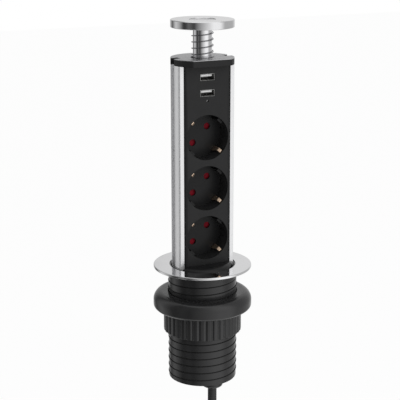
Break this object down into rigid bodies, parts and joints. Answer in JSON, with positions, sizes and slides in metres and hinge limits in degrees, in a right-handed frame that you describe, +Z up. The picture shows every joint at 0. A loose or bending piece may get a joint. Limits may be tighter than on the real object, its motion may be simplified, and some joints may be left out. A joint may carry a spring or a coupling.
{
  "type": "recessed power strip",
  "caption": "Round pull-up power tower for a hole in a worktop, with angled earthed sockets, USB ports, a sprung lift cap, a steel trim ring, a screw clamp and a mains lead.",
  "frame": {"origin": "centre of the worktop hole, level with the top of the worktop", "axes": "+Z up along the tower; the sockets look along -Y; +X to the right seen from the front"},
  "size_m": [0.1486, 0.0868, 0.5727],
  "materials": {
    "polished_steel": "polished",
    "chromed_tube": "polished",
    "plated_steel": "plated",
    "spring_steel": "drawn wire",
    "anodised_aluminium": "satin anodised",
    "black_plastic": "fine matt",
    "black_glossy_plastic": "satin",
    "black_rubber": "matt",
    "natural_nylon": "matt",
    "brass": "bright",
    "red_plastic": "smooth",
    "grey_plastic": "matt",
    "white_plastic": "matt",
    "board_green": "lacquered",
    "lead_insulation": "smooth",
    "clear_plastic": "clear"
  },
  "bodies": {
    "collar": {"trim_ring": "polished_steel", "ring_gasket": "black_rubber", "collar_sleeve": "black_plastic", "guide_pads": "natural_nylon"},
    "clamp_washer": {"clamp_washer": "black_plastic"},
    "clamp_nut": {"clamp_nut": "black_plastic"},
    "tower": {"tower_profile": "anodised_aluminium", "face_plate": "black_plastic", "lower_cover": "black_glossy_plastic", "end_cap": "black_plastic", "top_plate": "polished_steel", "end_cap_screws": "plated_steel", "guide_post": "plated_steel", "socket_cup_1": "black_plastic", "socket_cup_2": "black_plastic", "socket_cup_3": "black_plastic", "contact_block_1": "grey_plastic", "contact_block_2": "grey_plastic", "contact_block_3": "grey_plastic", "earth_clip_1": "brass", "earth_clip_2": "brass", "earth_clip_3": "brass", "live_rail": "brass", "neutral_rail": "brass", "earth_rail": "brass", "usb_board": "board_green", "usb_converter": "grey_plastic", "usb_shell_1": "plated_steel", "usb_shell_2": "plated_steel", "usb_tongue_1": "white_plastic", "usb_tongue_2": "white_plastic", "light_pipe": "clear_plastic", "bottom_cap": "black_plastic", "bottom_cap_screws": "plated_steel", "terminal_block": "white_plastic", "rail_leads": "lead_insulation", "core_leads": "lead_insulation", "cable_gland": "black_plastic", "gland_nut": "black_plastic", "cord": "black_rubber", "cord_coil": "black_rubber", "cord_tail": "black_rubber", "cord_tie": "black_rubber", "plug_relief": "black_rubber", "plug_body": "black_glossy_plastic", "plug_pins": "plated_steel", "plug_earth": "brass"},
    "shutter_1": {"shutter_1": "red_plastic"},
    "shutter_2": {"shutter_2": "red_plastic"},
    "shutter_3": {"shutter_3": "red_plastic"},
    "cap": {"cap_disc": "polished_steel", "guide_tube": "chromed_tube", "lift_spring": "spring_steel"},
    "button": {"release_button": "plated_steel", "release_rod": "plated_steel", "button_spring": "spring_steel"}
  },
  "joints": [
    {"name": "nut_travel", "type": "slide", "parent": "collar", "child": "clamp_washer", "axis": [0, 0, 1], "range_m": [-0.0387, 0.0161]},
    {"name": "nut_spin", "type": "hinge", "parent": "clamp_washer", "child": "clamp_nut", "pos_m": [0, 0, -0.047], "axis": [0, 0, 1], "range_deg": [-2100, 870]},
    {"name": "tower_slide", "type": "slide", "parent": "collar", "child": "tower", "axis": [0, 0, 1], "range_m": [-0.203, 0]},
    {"name": "shutter_1_turn", "type": "hinge", "parent": "tower", "child": "shutter_1", "pos_m": [0, 0.0083, 0.117], "axis": [0, -1, 0], "range_deg": [0, 38], "stiffness_Nm_per_rad": 0.003, "springref_deg": -11.46},
    {"name": "shutter_2_turn", "type": "hinge", "parent": "tower", "child": "shutter_2", "pos_m": [0, 0.0083, 0.0727], "axis": [0, -1, 0], "range_deg": [0, 38], "stiffness_Nm_per_rad": 0.003, "springref_deg": -11.46},
    {"name": "shutter_3_turn", "type": "hinge", "parent": "tower", "child": "shutter_3", "pos_m": [0, 0.0083, 0.0284], "axis": [0, -1, 0], "range_deg": [0, 38], "stiffness_Nm_per_rad": 0.003, "springref_deg": -11.46},
    {"name": "cap_press", "type": "slide", "parent": "tower", "child": "cap", "axis": [0, 0, 1], "range_m": [-0.0105, 0], "stiffness_N_per_m": 500, "springref_m": 0.01, "deforming": ["lift_spring"]},
    {"name": "button_press", "type": "slide", "parent": "cap", "child": "button", "axis": [0, 0, 1], "range_m": [-0.0018, 0], "stiffness_N_per_m": 900, "springref_m": 0.0015, "deforming": ["button_spring"]}
  ],
  "couplings": [
    {"joint": "nut_travel", "follows": "nut_spin", "m_per_rad": 0.0010504}
  ]
}
